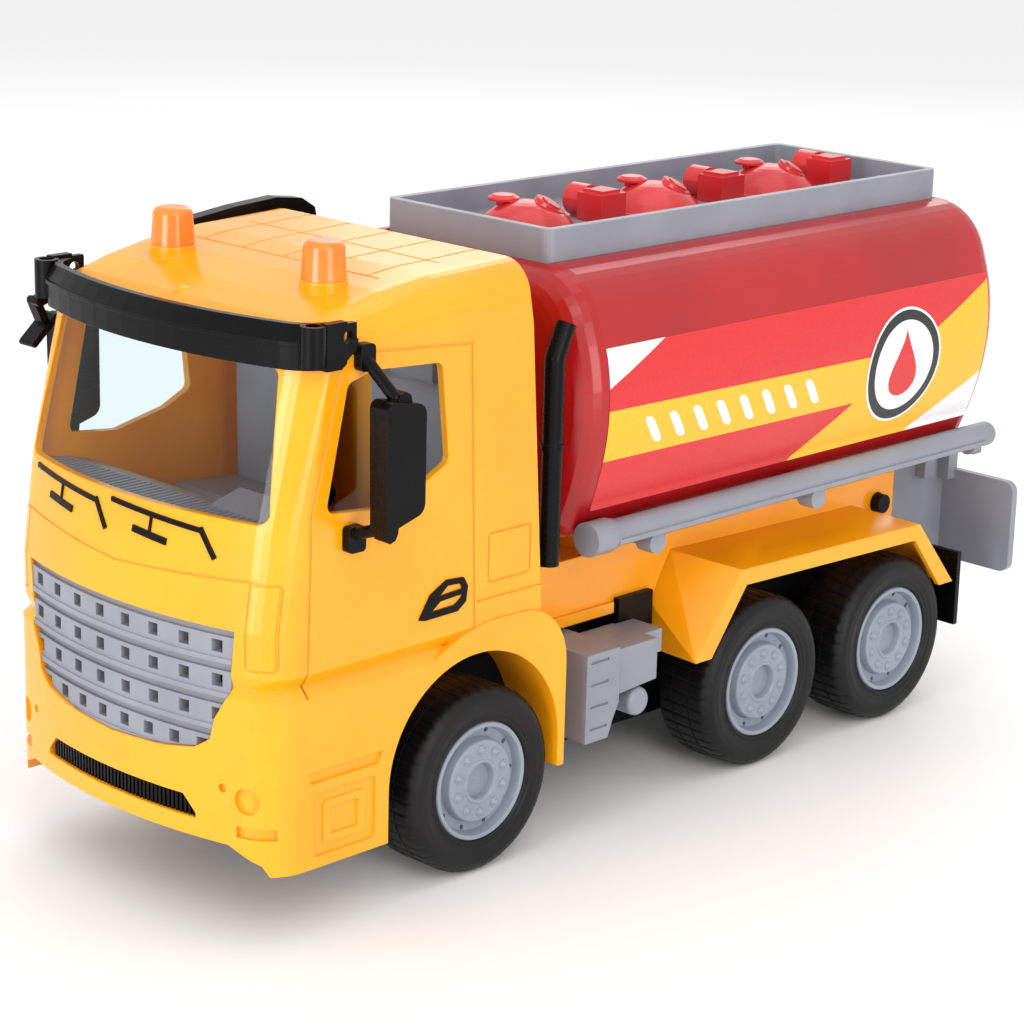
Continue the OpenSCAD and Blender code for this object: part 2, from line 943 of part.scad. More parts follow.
module rear_fender_left() {
  outer_y = 44.6;
  lip_h = 4.2;
  color(cab_yellow) {
    difference() {
      fender_body(0, frame_half_w, outer_y);
      translate([0, 0, -0.01])
        fender_body(1.6, frame_half_w - 1, outer_y + 1);
    }
    // Lip along the outer edge
    difference() {
      across(outer_y - 1.6, outer_y)
        fender_view(0);
      across(outer_y - 3, outer_y + 2)
        translate([0, -0.01])
          fender_view(lip_h);
    }
  }
}

module rear_fender_right() {
  to_right()
    rear_fender_left();
}

module mudflap_left() {
  color(moulded_black) {
    across(24, 44.5)
      polygon([[-118.6, 21], [-117, 21], [-117, 41.6], [-118.6, 41.6]]);
    for (z = [24, 28, 32])
      block([-119.1, 26, z], [-118.6, 42.5, z + 1.2]);
  }
}

module mudflap_right() {
  to_right()
    mudflap_left();
}

module tail_panel() {
  plate_x = -138;
  side_y = 24;
  color(trim_grey) {
    difference() {
      along(plate_x, plate_x + 2.2)
        polygon(round_rect(-48, 32.8, 48, 58.6, 3));
      // Shallow field on the back face
      along(plate_x - 1, plate_x + 0.6)
        polygon(round_rect(-44.5, 36.2, 44.5, 55.2, 1.5));
    }
    both_sides() {
      // Long plates that run forward into the frame
      across(side_y - 1.8, side_y)
        polygon([[plate_x + 2, 33], [-118, 31.5], [-104, 40], [-104, 60], [-108.6, 66], [plate_x + 2, 62]]);
      block([-118, base_half_w, 34], [-110, side_y - 1, 44]);
      // Uprights under the back of the tank
      block([-127, side_y - 1.8, 58], [-122.6, side_y + 3.6, saddle_top_z - 0.1]);
      block([plate_x + 1, side_y - 1, 56], [plate_x + 5, side_y + 4, 64]);
    }
  }
}

// Side boxes

module side_box_left() {
  outer_y = 46;
  color(trim_grey)
    difference() {
      union() {
        across(base_half_w, outer_y)
          polygon([[32, 23.2], [24.2, 23.2], [22.6, 27.4], [20.6, 31.4], [20.6, 45.4], [32, 45.4]]);
        across(30.2, outer_y - 0.8)
          polygon([[20.7, 33], [6.4, 34], [6.4, 44.4], [20.7, 44.4]]);
        block([-1, 30.2, 38], [10, 40, 44]);
      }
      // Four treads on the outside and a groove across the top
      for (z = [26.2:5.6:43])
        block([24.4, outer_y - 0.5, z], [30.6, outer_y + 1, z + 0.7]);
      block([18.6, base_half_w - 1, 43.6], [20.4, outer_y - 2, 50]);
      block([22, base_half_w + 2, 42.6], [29, outer_y - 6, 43.6]);
    }
}

module side_box_right() {
  to_right()
    side_box_left();
}

module air_tank_left() {
  r = 3.6;
  color(trim_grey)
    difference() {
      translate([12.6, 0, 29.4])
        rotate([-90, 0, 0])
          translate([0, 0, base_half_w])
            rotate_extrude()
              polygon(concat([[0, 0], [r, 0]], arc(r - 1.4, 24.4, 1.4, 0, 90, 4), [[0, 25.8]]));
      block([0, 10, 33], [30, 60, 40]);
    }
}

module air_tank_right() {
  to_right()
    air_tank_left();
}

// Tank

// Cross section of the tank, in Y and Z
function tank_side(t) = [
  pow(1 - t, 2) * 43.8 + 2 * t * (1 - t) * 52 + t * t * 40.3,
  pow(1 - t, 2) * 124 + 2 * t * (1 - t) * 104 + t * t * 76.4];
tank_half = concat(
  arc(28, 121, 16, 90, 18, 8),
  [for (i = [1:11]) tank_side(i / 12)],
  arc(34.4, 78, 6, -15, -90, 5));
tank_section = concat(tank_half, [for (i = [len(tank_half) - 1:-1:0]) [-tank_half[i].x, tank_half[i].y]]);

// The section drawn in towards its middle, standing at x
function tank_ring(x, inset) =
  let (k = 1 - inset / 40)
  [for (p = tank_section) [x, p.x * k, tank_mid_z + (p.y - tank_mid_z) * k]];

// Skin over a row of rings, each with the same number of points
module skin_over(rings) {
  n = len(rings[0]);
  last = (len(rings) - 1) * n;
  sides = [for (r = [0:len(rings) - 2]) for (i = [0:n - 1]) let (j = (i + 1) % n)
    each [[r * n + i, r * n + j, r * n + n + j], [r * n + i, r * n + n + j, r * n + n + i]]];
  ends = [[for (i = [n - 1:-1:0]) i], [for (i = [0:n - 1]) last + i]];
  polyhedron([for (ring = rings) each ring], concat(sides, ends));
}

module tank_body(inset) {
  r = tank_end_r;
  skin_over(concat(
    [for (a = [0:15:90]) tank_ring(tank_back_x + inset + r - r * cos(a), inset + r * (1 - sin(a)))],
    [for (a = [90:-15:0]) tank_ring(tank_front_x - inset - r + r * cos(a), inset + r * (1 - sin(a)))]));
}

module tank_shell() {
  color(tank_red)
    difference() {
      tank_body(0);
      difference() {
        tank_body(tank_wall);
        block([-200, -60, 132.6], [100, 60, 160]);
      }
      // Open underneath, where the floor goes
      along(tank_back_x + 8, tank_front_x - 8)
        polygon([[-33, 70], [33, 70], [33, 80], [-33, 80]]);
      // Flat seat for the tray
      block([tray_back_x - 0.1, -tray_half_w - 0.1, tray_low_z], [tray_front_x + 0.1, tray_half_w + 0.1, 150]);
    }
}

module tank_floor() {
  color(tank_red)
    along(tank_back_x + 8.1, tank_front_x - 8.1)
      polygon([[-32.9, tank_low_z], [32.9, tank_low_z], [32.9, tank_low_z + 2], [-32.9, tank_low_z + 2]]);
}

module tank_tray() {
  wall = 2.2;
  color(trim_grey) {
    difference() {
      translate([0, 0, tray_low_z])
        linear_extrude(tray_rim_z - tray_low_z)
          polygon(round_rect(tray_back_x, -tray_half_w, tray_front_x, tray_half_w, 2.6));
      translate([0, 0, tray_floor_z])
        linear_extrude(20)
          polygon(round_rect(
            tray_back_x + wall, -tray_half_w + wall, tray_front_x - wall, tray_half_w - wall, 1.2));
    }
  }
}

// A domed hatch with a capped filler behind and a flat cap on its near slope
module manlid(x) {
  z0 = tray_floor_z;
  color(tank_red)
    translate([x, 0, z0]) {
      rotate_extrude($fn = 64)
        polygon(concat([[0, 0], [13.2, 0], [13.2, 0.5], [12.6, 0.8]], arc(0, -7.9, 15.3, 38, 90, 8)));
      translate([2.6, -5, 5]) {
        cylinder(h = 2.6, r = 1.9);
        translate([0, 0, 1.7])
          rotate_extrude()
            polygon([[0, 0], [3.9, 0.2], [3.9, 0.9], [2.7, 1.6], [0, 1.9]]);
      }
      translate([-3.6, 3.4, 4.6])
        rotate([-24, -22, 0]) {
          cylinder(h = 2.2, r = 4);
          translate([0, 0, 2])
            cylinder(h = 0.7, r = 2.6);
        }
    }
}

module manlid_1() {
  manlid(lid_xs[0]);
}

module manlid_2() {
  manlid(lid_xs[1]);
}

module manlid_3() {
  manlid(lid_xs[2]);
}

// Vent valve: a block with a lying drum and a hand nut beside it
module vent_valve(x) {
  z0 = tray_floor_z;
  color(tank_red)
    translate([x, 0, z0]) {
      block([-4.4, -2, 0], [4.4, 6.4, 7]);
      block([-3.2, -1, 6], [3.2, 5.4, 7.8]);
      difference() {
        translate([0, -7.4, 4.2])
          rotate([-90, 0, 0])
            cylinder(h = 5.8, r = 4.1);
        translate([0, -8, 4.2])
          rotate([-90, 0, 0])
            cylinder(h = 2.6, r = 2.6);
      }
      block([-2, -6.6, 0], [2, -1.8, 2]);
    }
}

module vent_valve_1() {
  vent_valve(valve_xs[0]);
}

module vent_valve_2() {
  vent_valve(valve_xs[1]);
}

module vent_valve_3() {
  vent_valve(valve_xs[2]);
}

// Round rail along each side under the tank, held on the saddles
module side_pipe_left() {
  y = 44;
  z = 73.7;
  r = 3.3;
  front_x = 31;
  back_x = -128;
  color(trim_grey) {
    translate([front_x, y, z])
      rotate([0, -90, 0])
        rotate_extrude()
          polygon(concat(
            [[0, 0], [r, 0]],
            arc(r - 2, front_x - back_x - 2, 2, 0, 90, 5),
            [[0, front_x - back_x]]));
    translate([front_x - 6, y, z])
      rotate([0, 90, 0]) {
        cylinder(h = 6.8, r = 4.2);
        translate([0, 0, -1.6])
          cylinder(h = 2, r = 3.8);
      }
    // Ledge along the outside
    block([back_x + 6, y, z - 1.9], [front_x - 7, y + 3.7, z - 0.7]);
    // Pegs with the arms that reach the saddles
    for (x = [saddle_xs[0], saddle_xs[1]]) {
      translate([x, 41.6, 69.2])
        rotate([-90, 0, 0])
          cylinder(h = 4.8, r = 2.8);
      block([x - 2.6, saddle_half_w, 68.4], [x + 2.6, 42.4, 71.6]);
    }
    // Arm back to the upright of the tail
    block([-126.6, 27.6, 68], [-123, 43, 71]);
    translate([-121, y, z - 2])
      rotate([0, 90, 0])
        cylinder(h = 3, r = 2.6);
  }
}

module side_pipe_right() {
  to_right()
    side_pipe_left();
}

// Wheels

// Puts a wheel part, drawn with its outer face up, on one side of an axle
module on_hub(x, face_y, side) {
  translate([x, side * face_y, axle_z])
    rotate([-90 * side, 0, 0])
      children();
}

module tyre(x, face_y, side) {
  outer_r = tyre_d / 2;
  bead_r = rim_d / 2;
  shoulder = 3;
  color("#1C1C20")
    on_hub(x, face_y, side)
      rotate_extrude($fn = 96)
        polygon(concat(
          [[bead_r, -tyre_w + 1], [bead_r + 1, -tyre_w]],
          arc(outer_r - shoulder, -tyre_w + shoulder, shoulder, -90, 0, 6),
          arc(outer_r - shoulder, -shoulder, shoulder, 0, 90, 6),
          [[bead_r + 1.4, -0.2], [bead_r, -0.9]]));
}

module rim(x, face_y, side) {
  rim_r = rim_d / 2 - 0.02;
  hub_r = 9.8;
  hub_len = face_y - hub_end_y;
  barrel_z = -tyre_w + 1.2;
  color("#8F97A3")
    on_hub(x, face_y, side)
      difference() {
        union() {
          rotate_extrude($fn = 96)
            polygon([
              [axle_d / 2 + 0.02, -hub_len], [axle_d / 2 + 0.02, -3.7], [0, -3.7], [0, -2.7], [3.9, -2.6],
              [4.3, -0.9], [4.6, -0.5], [5.2, -0.5], [5.4, -0.8], [hub_r - 0.3, -0.8], [hub_r, -1.1],
              [hub_r + 0.5, -3.3], [rim_r - 1.9, -3], [rim_r - 1.2, -0.6], [rim_r - 0.3, -0.5], [rim_r, -1],
              [rim_r, barrel_z], [rim_r - 1.6, barrel_z], [rim_r - 1.8, -4.6], [5.4, -4.8], [5, -hub_len]]);
          for (i = [0:lug_count - 1])
            rotate([0, 0, 360 * (i + 0.5) / lug_count])
              translate([7.6, 0, -1]) {
                cylinder(h = 0.5, r = 1.15, $fn = 24);
                translate([0, 0, 0.2])
                  sphere(r = 0.9, $fn = 24);
              }
        }
        for (i = [0:lug_count - 1])
          rotate([0, 0, 360 * i / lug_count])
            translate([(hub_r + rim_r) / 2 - 0.3, 0, -5])
              cylinder(h = 6, r = 0.6, $fn = 24);
      }
}

module axle(x, face_y) {
  color("silver")
    translate([x, 0, axle_z])
      rotate([90, 0, 0])
        cylinder(h = 2 * (face_y - 3.8), r = axle_d / 2, center = true);
}

module front_axle() {
  axle(front_axle_x, front_face_y);
}

module middle_axle() {
  axle(middle_axle_x, back_face_y);
}

module rear_axle() {
  axle(rear_axle_x, back_face_y);
}

cab_shell();
wheel_liner_left();
wheel_liner_right();
front_grille();
lower_grille();
windscreen();
side_window_left();
side_window_right();
cab_interior();
steering_wheel();
sun_visor();
kerb_mirror();
mirror_left();
mirror_right();
roof_duct();
air_stack();
beacon_left();
beacon_right();
wiper_left();
wiper_right();
handle_trim_left();
handle_trim_right();
chassis_base();
chassis_frame();
chassis_screws();
rear_fender_left();
rear_fender_right();
mudflap_left();
mudflap_right();
tail_panel();
side_box_left();
side_box_right();
air_tank_left();
air_tank_right();
tank_shell();
tank_floor();
tank_tray();
manlid_1();
manlid_2();
manlid_3();
vent_valve_1();
vent_valve_2();
vent_valve_3();
side_pipe_left();
side_pipe_right();
front_axle();
middle_axle();
rear_axle();
rim(front_axle_x, front_face_y, 1);  // rim_front_left
rim(front_axle_x, front_face_y, -1);  // rim_front_right
rim(middle_axle_x, back_face_y, 1);  // rim_middle_left
rim(middle_axle_x, back_face_y, -1);  // rim_middle_right
rim(rear_axle_x, back_face_y, 1);  // rim_rear_left
rim(rear_axle_x, back_face_y, -1);  // rim_rear_right
tyre(front_axle_x, front_face_y, 1);  // tyre_front_left
tyre(front_axle_x, front_face_y, -1);  // tyre_front_right
tyre(middle_axle_x, back_face_y, 1);  // tyre_middle_left
tyre(middle_axle_x, back_face_y, -1);  // tyre_middle_right
tyre(rear_axle_x, back_face_y, 1);  // tyre_rear_left
tyre(rear_axle_x, back_face_y, -1);  // tyre_rear_right
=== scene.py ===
# Toy tanker truck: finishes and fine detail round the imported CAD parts.
# Metres, X forward, Y to the truck's left, Z up, wheels on Z = 0.
from math import cos, pi, radians, sin

import bmesh
import bpy
from mathutils import Matrix, Vector


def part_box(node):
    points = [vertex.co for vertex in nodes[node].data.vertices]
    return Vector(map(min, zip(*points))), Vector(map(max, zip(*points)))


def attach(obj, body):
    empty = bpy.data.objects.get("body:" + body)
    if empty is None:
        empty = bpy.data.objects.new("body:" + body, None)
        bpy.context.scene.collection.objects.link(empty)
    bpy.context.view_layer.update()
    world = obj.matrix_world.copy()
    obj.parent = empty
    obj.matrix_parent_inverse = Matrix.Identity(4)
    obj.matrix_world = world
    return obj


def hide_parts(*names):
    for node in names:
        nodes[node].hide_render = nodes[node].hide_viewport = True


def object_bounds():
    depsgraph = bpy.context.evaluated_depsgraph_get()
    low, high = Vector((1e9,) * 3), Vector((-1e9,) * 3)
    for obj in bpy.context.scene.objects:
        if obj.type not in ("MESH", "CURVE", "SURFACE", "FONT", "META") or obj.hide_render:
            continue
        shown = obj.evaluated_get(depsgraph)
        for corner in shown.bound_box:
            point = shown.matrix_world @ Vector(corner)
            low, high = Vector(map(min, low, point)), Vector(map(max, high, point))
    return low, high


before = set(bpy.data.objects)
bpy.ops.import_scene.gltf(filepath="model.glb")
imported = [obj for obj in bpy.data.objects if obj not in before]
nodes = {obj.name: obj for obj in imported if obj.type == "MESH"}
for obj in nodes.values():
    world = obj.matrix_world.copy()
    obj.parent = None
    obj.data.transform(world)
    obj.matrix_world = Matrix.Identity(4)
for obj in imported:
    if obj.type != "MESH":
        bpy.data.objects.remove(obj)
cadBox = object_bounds()
mm = 0.001
print("frame loaded:", len(nodes), "nodes")


cameraSetup = {
    "target": (12 * mm, 0, 67.29 * mm),
    "azimuth": 134.39,
    "elevation": 15.93,
    "roll": 1.5,
    "distance": 718.2 * mm,
    "lens": 100.96,
    "sensor": 36,
    "clipStart": 10 * mm,
}


def makeCamera(setup):
    azimuth = radians(setup["azimuth"])
    elevation = radians(setup["elevation"])
    roll = radians(setup["roll"])
    back = Vector((sin(azimuth) * cos(elevation), -cos(azimuth) * cos(elevation), sin(elevation)))
    right = Vector((cos(azimuth), sin(azimuth), 0))
    up = back.cross(right)
    tiltRight = right * cos(roll) + up * sin(roll)
    tiltUp = up * cos(roll) - right * sin(roll)
    data = bpy.data.cameras.new("threeQuarterCamera")
    data.lens = setup["lens"]
    data.sensor_width = setup["sensor"]
    data.clip_start = setup["clipStart"]
    camera = bpy.data.objects.new("threeQuarterCamera", data)
    bpy.context.scene.collection.objects.link(camera)
    place = Matrix((tiltRight, tiltUp, back)).transposed().to_4x4()
    place.translation = Vector(setup["target"]) + back * setup["distance"]
    camera.matrix_world = place
    bpy.context.scene.camera = camera


makeCamera(cameraSetup)
print("camera placed")


def srgb(text, alpha=1.0):
    parts = [int(text[i : i + 2], 16) / 255 for i in (1, 3, 5)]
    linear = [c / 12.92 if c <= 0.04045 else ((c + 0.055) / 1.055) ** 2.4 for c in parts]
    return (*linear, alpha)


def perMm(size):
    return 1 / (size * mm)  # noise scale that gives features of this many millimetres


def addNode(tree, kind, settings=None, links=None):
    node = tree.nodes.new("ShaderNode" + kind)
    for key, value in (settings or {}).items():
        if isinstance(key, int) or key in node.inputs:
            node.inputs[key].default_value = value
        else:
            setattr(node, key, value)
    for key, source in (links or {}).items():
        tree.links.new(source, node.inputs[key])
    return node


def newMaterial(name):
    material = bpy.data.materials.new(name)
    material.use_nodes = True
    tree = material.node_tree
    tree.nodes.clear()
    return material, tree


hair = {"sizeMm": 0.7, "stretch": 0.06, "detail": 4.0}  # fine scratches, drawn out along the truck


def mouldedPlastic(name, look):
    # One family for every injection-moulded part: flow marks, spark-eroded grain, rubbed edges
    material, tree = newMaterial(name)
    place = addNode(tree, "TexCoord").outputs["Object"]
    flow = addNode(tree, "TexNoise", {"Scale": perMm(look["flowMm"]), "Detail": 3.0, "Roughness": 0.55},
                   {"Vector": place})
    grain = addNode(tree, "TexNoise", {"Scale": perMm(look["grainMm"]), "Detail": 2.0}, {"Vector": place})
    # Hair scratches run along the truck, where it's pushed and rubbed
    stretch = addNode(tree, "Mapping", {"Scale": (hair["stretch"], 1.0, 1.0)}, {"Vector": place})
    scratches = addNode(tree, "TexNoise", {"Scale": perMm(hair["sizeMm"]), "Detail": hair["detail"],
                                           "Roughness": 0.7}, {"Vector": stretch.outputs[0]})
    edge = addNode(tree, "Bevel", {"samples": 4, "Radius": look["edgeMm"] * mm})
    sharp = addNode(tree, "NewGeometry").outputs["Normal"]
    facing = addNode(tree, "VectorMath", {"operation": "DOT_PRODUCT"}, {0: edge.outputs[0], 1: sharp})
    worn = addNode(tree, "MapRange", {"From Min": 0.995, "From Max": 0.86, "To Min": 0.0, "To Max": 1.0},
                   {"Value": facing.outputs["Value"]})
    blotch = addNode(tree, "MapRange", {"From Min": 0.38, "From Max": 0.62, "To Min": 0.0, "To Max": 1.0},
                     {"Value": flow.outputs["Fac"]})
    body = addNode(tree, "Mix", {"data_type": "RGBA", 6: srgb(look["shade"]), 7: srgb(look["colour"])},
                   {0: blotch.outputs[0]})
    rubbed = addNode(tree, "Math", {"operation": "MULTIPLY", 1: look["wear"]}, {0: worn.outputs[0]})
    skin = addNode(tree, "Mix", {"data_type": "RGBA", 7: srgb(look["edge"])},
                   {0: rubbed.outputs[0], 6: body.outputs[2]})
    dull = addNode(tree, "MapRange", {"From Min": 0.3, "From Max": 0.75, "To Min": look["rough"][0],
                                      "To Max": look["rough"][1]}, {"Value": scratches.outputs["Fac"]})
    dent = addNode(tree, "Bump", {"Strength": look["grainStrength"], "Distance": 0.05 * mm},
                   {"Height": grain.outputs["Fac"], "Normal": edge.outputs[0]})
    shader = addNode(tree, "BsdfPrincipled", {"IOR": look["ior"],
                                              "Specular IOR Level": look.get("shine", 0.5),
                                              "Subsurface Weight": look.get("glow", 0.0),
                                              "Subsurface Radius": look.get("glowRadius", (1, 1, 1)),
                                              "Subsurface Scale": look.get("glowMm", 1.2) * mm},
                     {"Base Color": skin.outputs[2], "Roughness": dull.outputs[0], "Normal": dent.outputs[0]})
    addNode(tree, "OutputMaterial", None, {"Surface": shader.outputs[0]})
    return material


# Glossy moulded ABS in warm yellow: clean highlights with a slight orange-peel wobble
yellowAbs = {
    "colour": "#FFA810", "shade": "#FBA00A", "edge": "#FFBC3E", "wear": 0.4,
    "rough": (0.16, 0.26), "ior": 1.53, "flowMm": 42, "grainMm": 2.4, "grainStrength": 0.06,
    "edgeMm": 0.45, "glow": 0.28, "glowRadius": (1.0, 0.42, 0.06), "glowMm": 1.9,
}
# Glossy moulded ABS in signal red, deep and slightly uneven where the melt met
redAbs = {
    "colour": "#AE1217", "shade": "#A00E13", "edge": "#C42E30", "wear": 0.3,
    "rough": (0.18, 0.25), "ior": 1.53, "flowMm": 60, "grainMm": 2.6, "grainStrength": 0.05,
    "edgeMm": 0.5, "glow": 0.05, "glowRadius": (1.0, 0.1, 0.08),
}
# The same red on the small valve castings, a little brighter
valveRedAbs = dict(redAbs, colour="#D2282B", shade="#BF1C20", edge="#E25550", grainMm=1.2, edgeMm=0.3)
# Satin moulded polypropylene in cool grey: broad soft highlights and a fine grain
greyPolypropylene = {
    "colour": "#8C8F99", "shade": "#82858F", "edge": "#A6A9B2", "wear": 0.55,
    "rough": (0.34, 0.5), "ior": 1.49, "flowMm": 24, "grainMm": 0.8, "grainStrength": 0.16,
    "edgeMm": 0.35,
}
wheelPolypropylene = dict(greyPolypropylene, colour="#8D95A2", shade="#838B98", edge="#A9B0BB",
                          rough=(0.3, 0.44), grainMm=0.6, edgeMm=0.25)
# Moulded black ABS for the trim: dark, with grey rubbed edges
blackAbs = {
    "colour": "#09090B", "shade": "#060608", "edge": "#2C2C31", "wear": 0.35,
    "rough": (0.22, 0.34), "ior": 1.46, "flowMm": 20, "grainMm": 0.9, "grainStrength": 0.1,
    "edgeMm": 0.25, "shine": 0.15,
}
# Unpolished black ABS of the chassis
chassisBlackAbs = dict(blackAbs, colour="#09090B", shade="#060607", rough=(0.4, 0.55), grainMm=0.7,
                       grainStrength=0.22, shine=0.2)
# Tinted beacon plastic, a little translucent so its rim glows
amberStyrene = {
    "colour": "#FF8A1E", "shade": "#FF7C12", "edge": "#FFB04E", "wear": 0.4,
    "rough": (0.14, 0.24), "ior": 1.59, "flowMm": 8, "grainMm": 1.5, "grainStrength": 0.06,
    "edgeMm": 0.4, "glow": 0.35, "glowRadius": (1.0, 0.4, 0.05),
}

plastics = {
    "glossyYellowAbs": mouldedPlastic("glossyYellowAbs", yellowAbs),
    "glossyRedAbs": mouldedPlastic("glossyRedAbs", redAbs),
    "valveRedAbs": mouldedPlastic("valveRedAbs", valveRedAbs),
    "satinGreyPolypropylene": mouldedPlastic("satinGreyPolypropylene", greyPolypropylene),
    "satinWheelPolypropylene": mouldedPlastic("satinWheelPolypropylene", wheelPolypropylene),
    "satinBlackAbs": mouldedPlastic("satinBlackAbs", blackAbs),
    "chassisBlackAbs": mouldedPlastic("chassisBlackAbs", chassisBlackAbs),
    "amberStyrene": mouldedPlastic("amberStyrene", amberStyrene),
}


tyreLook = {
    "dark": "#08080A", "light": "#0F0F11", "bloomMm": 9, "grainMm": 0.7, "rough": (0.4, 0.56),
    "grainStrength": 0.22, "shine": 0.26,
}


def softPvcTyre(look):
    # Soft moulded PVC: nearly black, dull, with a faint bloom and fine radial mould lines
    material, tree = newMaterial("softPvcTyre")
    place = addNode(tree, "TexCoord").outputs["Object"]
    bloom = addNode(tree, "TexNoise", {"Scale": perMm(look["bloomMm"]), "Detail": 4.0, "Roughness": 0.65},
                    {"Vector": place})
    grain = addNode(tree, "TexNoise", {"Scale": perMm(look["grainMm"]), "Detail": 3.0}, {"Vector": place})
    tone = addNode(tree, "MapRange", {"From Min": 0.35, "From Max": 0.7}, {"Value": bloom.outputs["Fac"]})
    body = addNode(tree, "Mix", {"data_type": "RGBA", 6: srgb(look["dark"]), 7: srgb(look["light"])},
                   {0: tone.outputs[0]})
    dull = addNode(tree, "MapRange", {"From Min": 0.3, "From Max": 0.7, "To Min": look["rough"][0],
                                      "To Max": look["rough"][1]}, {"Value": bloom.outputs["Fac"]})
    dent = addNode(tree, "Bump", {"Strength": look["grainStrength"], "Distance": 0.06 * mm},
                   {"Height": grain.outputs["Fac"]})
    shader = addNode(tree, "BsdfPrincipled", {"IOR": 1.53, "Specular IOR Level": look["shine"]},
                     {"Base Color": body.outputs[2], "Roughness": dull.outputs[0], "Normal": dent.outputs[0]})
    addNode(tree, "OutputMaterial", None, {"Surface": shader.outputs[0]})
    return material


steelLook = {"colour": "#C9CBCF", "marksMm": 0.4, "stretch": 0.05, "rough": (0.22, 0.42)}


def drawnSteel(look):
    # Zinc-plated drawn steel with fine marks along its length
    material, tree = newMaterial("drawnSteel")
    place = addNode(tree, "TexCoord").outputs["Object"]
    stretch = addNode(tree, "Mapping", {"Scale": (1.0, look["stretch"], 1.0)}, {"Vector": place})
    marks = addNode(tree, "TexNoise", {"Scale": perMm(look["marksMm"]), "Detail": 3.0},
                    {"Vector": stretch.outputs[0]})
    dull = addNode(tree, "MapRange", {"From Min": 0.3, "From Max": 0.7, "To Min": look["rough"][0],
                                      "To Max": look["rough"][1]}, {"Value": marks.outputs["Fac"]})
    dent = addNode(tree, "Bump", {"Strength": 0.12, "Distance": 0.03 * mm},
                   {"Height": marks.outputs["Fac"]})
    shader = addNode(tree, "BsdfPrincipled", {"Base Color": srgb(look["colour"]), "Metallic": 1.0},
                     {"Roughness": dull.outputs[0], "Normal": dent.outputs[0]})
    addNode(tree, "OutputMaterial", None, {"Surface": shader.outputs[0]})
    return material


glazingLook = {"tint": "#F7FBFC", "wobbleMm": 14, "reflection": 0.4, "rough": 0.06}


def clearStyrene(look):
    # Clear moulded polystyrene glazing: see-through with bright reflections and a faint blue cast
    material, tree = newMaterial("clearPolystyrene")
    place = addNode(tree, "TexCoord").outputs["Object"]
    wobble = addNode(tree, "TexNoise", {"Scale": perMm(look["wobbleMm"]), "Detail": 1.0}, {"Vector": place})
    dent = addNode(tree, "Bump", {"Strength": 0.1, "Distance": 0.3 * mm}, {"Height": wobble.outputs["Fac"]})
    rim = addNode(tree, "Fresnel", {"IOR": 1.59}, {"Normal": dent.outputs[0]})
    behind = addNode(tree, "NewGeometry").outputs["Backfacing"]
    outside = addNode(tree, "Math", {"operation": "SUBTRACT", 0: 1.0}, {1: behind})
    thin = addNode(tree, "Math", {"operation": "MULTIPLY", 1: look["reflection"]}, {0: outside.outputs[0]})
    lift = addNode(tree, "Math", {"operation": "MULTIPLY"}, {0: rim.outputs[0], 1: thin.outputs[0]})
    through = addNode(tree, "BsdfTransparent", {"Color": srgb(look["tint"])})
    shine = addNode(tree, "BsdfAnisotropic", {"Color": srgb("#FFFFFF"), "Roughness": look["rough"]},
                    {"Normal": dent.outputs[0]})
    mixed = addNode(tree, "MixShader", None,
                    {0: lift.outputs[0], 1: through.outputs[0], 2: shine.outputs[0]})
    addNode(tree, "OutputMaterial", None, {"Surface": mixed.outputs[0]})
    return material


tyreRubber = softPvcTyre(tyreLook)
steel = drawnSteel(steelLook)
glazing = clearStyrene(glazingLook)
print("materials made")


finishes = {
    "glossyYellowAbs": ["cab_shell", "chassis_frame", "rear_fender_left", "rear_fender_right"],
    "glossyRedAbs": ["tank_shell", "tank_floor"],
    "valveRedAbs": ["manlid_1", "manlid_2", "manlid_3", "vent_valve_1", "vent_valve_2", "vent_valve_3"],
    "satinGreyPolypropylene": ["front_grille", "cab_interior", "tail_panel", "side_box_left",
                               "side_box_right", "air_tank_left", "air_tank_right", "tank_tray",
                               "side_pipe_left", "side_pipe_right"],
    "satinBlackAbs": ["wheel_liner_left", "wheel_liner_right", "lower_grille", "steering_wheel",
                      "sun_visor", "kerb_mirror", "mirror_left", "mirror_right", "roof_duct", "air_stack",
                      "wiper_left", "wiper_right", "handle_trim_left", "handle_trim_right", "mudflap_left",
                      "mudflap_right"],
    "chassisBlackAbs": ["chassis_base"],
    "amberStyrene": ["beacon_left", "beacon_right"],
}


def finish(nodeName, material):
    piece = nodes[nodeName]
    piece.data.materials.clear()
    piece.data.materials.append(material)


def smoothByAngle(piece, degrees):
    # Curved stretches shade smoothly and real corners stay crisp
    mesh = piece.data
    limit = cos(radians(degrees))
    for face in mesh.polygons:
        face.use_smooth = True
    work = bmesh.new()
    work.from_mesh(mesh)
    sharp = []
    for edge in work.edges:
        pair = edge.link_faces
        sharp.append(len(pair) != 2 or pair[0].normal.dot(pair[1].normal) < limit)
    work.free()
    flags = mesh.attributes.get("sharp_edge") or mesh.attributes.new("sharp_edge", "BOOLEAN", "EDGE")
    flags.data.foreach_set("value", sharp)


cornerAngle = 24  # degrees between faces from which an edge stays crisp
# Faceted sweeps that need a wider angle to shade as one curve
bluntEdges = {"tank_shell": 40, "rear_fender_left": 42, "rear_fender_right": 42}

for look, names in finishes.items():
    for name in names:
        finish(name, plastics[look])
for name in ["windscreen", "side_window_left", "side_window_right"]:
    finish(name, glazing)
for name in ["front_axle", "middle_axle", "rear_axle", "chassis_screws"]:
    finish(name, steel)
for name in nodes:
    if name.startswith("rim_"):
        finish(name, plastics["satinWheelPolypropylene"])
    if name.startswith("tyre_"):
        finish(name, tyreRubber)
    smoothByAngle(nodes[name], bluntEdges.get(name, cornerAngle))
print("CAD nodes finished")


